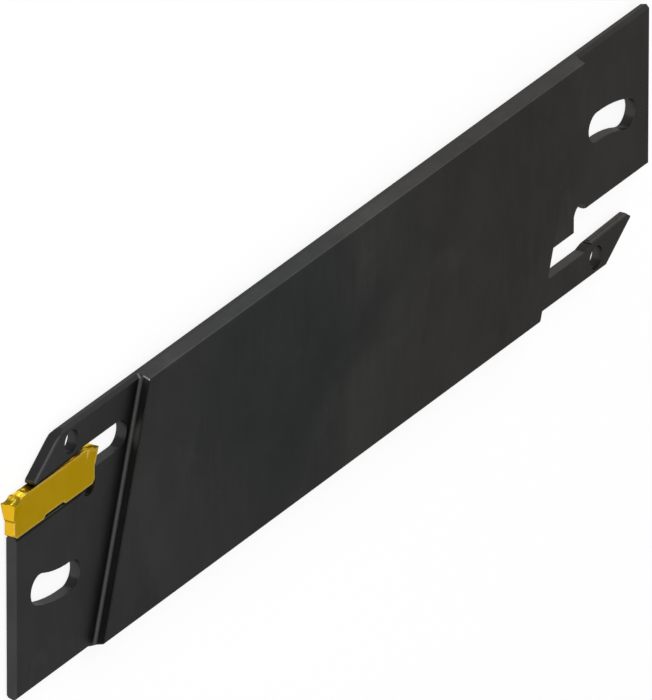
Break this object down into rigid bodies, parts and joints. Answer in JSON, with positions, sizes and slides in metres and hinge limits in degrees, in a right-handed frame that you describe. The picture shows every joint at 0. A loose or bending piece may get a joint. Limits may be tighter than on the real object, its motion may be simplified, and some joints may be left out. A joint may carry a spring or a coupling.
{
  "type": "parting blade",
  "caption": "Flat blackened steel parting-off blade with bevelled long edges, thinned ends with spring clamping fingers, and a gold-coated double-ended cutting insert in one pocket.",
  "frame": {"origin": "centre of the flat back face of the blade, midway between its ends and between its bevelled edges", "axes": "+X along the blade, away from the end that holds the insert; +Y up the height of the blade, towards the edge beside the insert; +Z out of the stepped front face, so the blade lies flat on its back face"},
  "size_m": [0.1509, 0.032, 0.0032],
  "materials": {
    "black_steel": "matt black oxide",
    "gold_coating": "satin gold coating on carbide"
  },
  "bodies": {
    "root": {"blade": "black_steel", "cutting_insert": "gold_coating"}
  },
  "joints": []
}
